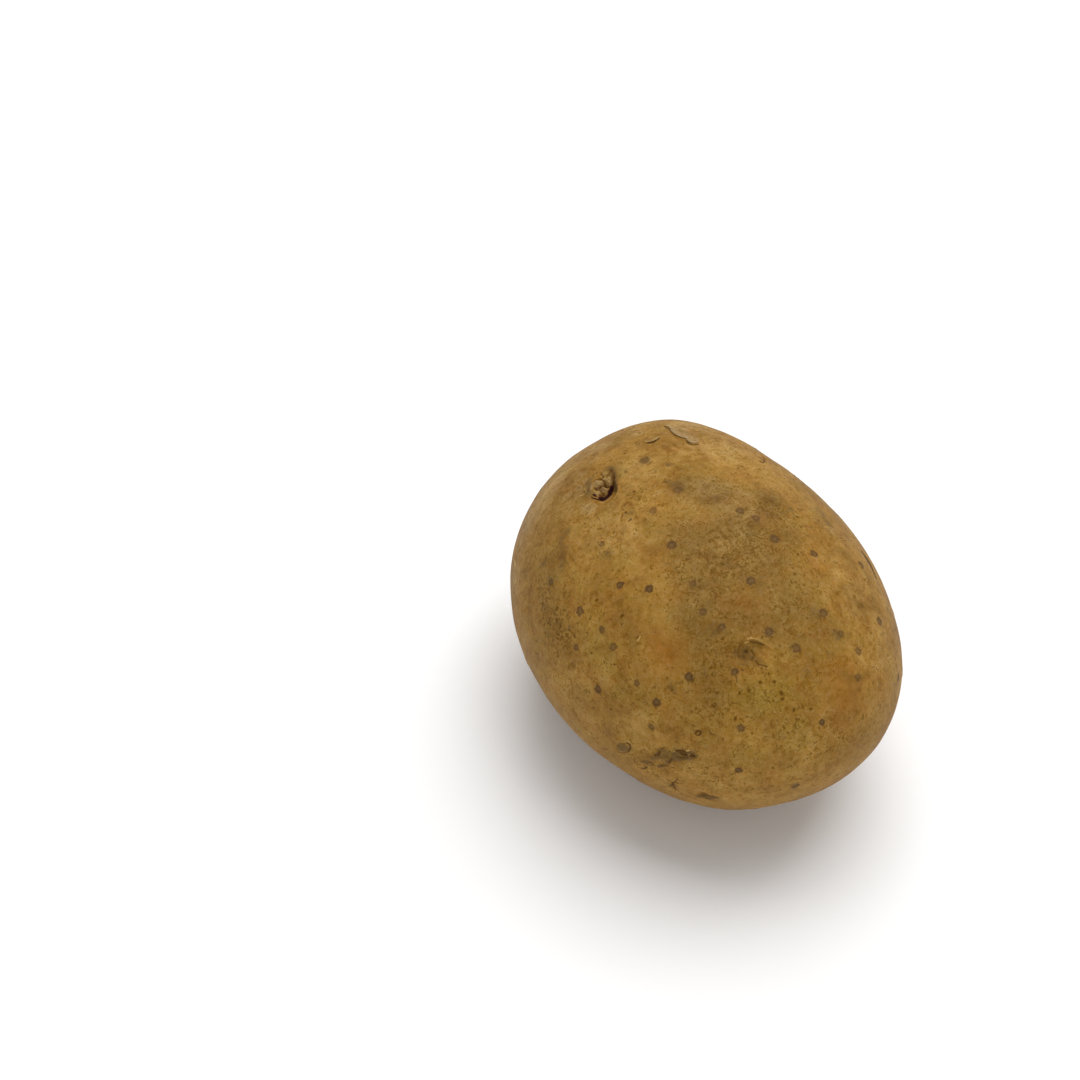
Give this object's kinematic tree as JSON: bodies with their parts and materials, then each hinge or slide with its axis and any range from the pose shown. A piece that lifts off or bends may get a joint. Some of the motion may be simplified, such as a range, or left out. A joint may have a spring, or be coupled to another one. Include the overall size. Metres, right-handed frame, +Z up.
{
  "type": "potato",
  "caption": "Raw table potato: an irregular oval tuber with shallow eyes, a corky stem scar and dotted, blemished skin, lying on a small flat spot.",
  "frame": {"origin": "on the surface that the tuber lies on, under the middle of its bounding box", "axes": "+X along the tuber's length, from the end with the stem scar to the rose end; +Z up, out of the resting spot"},
  "size_m": [0.0914, 0.071, 0.0622],
  "materials": {
    "skin": "matte"
  },
  "bodies": {
    "root": {"tuber": "skin"}
  },
  "joints": []
}
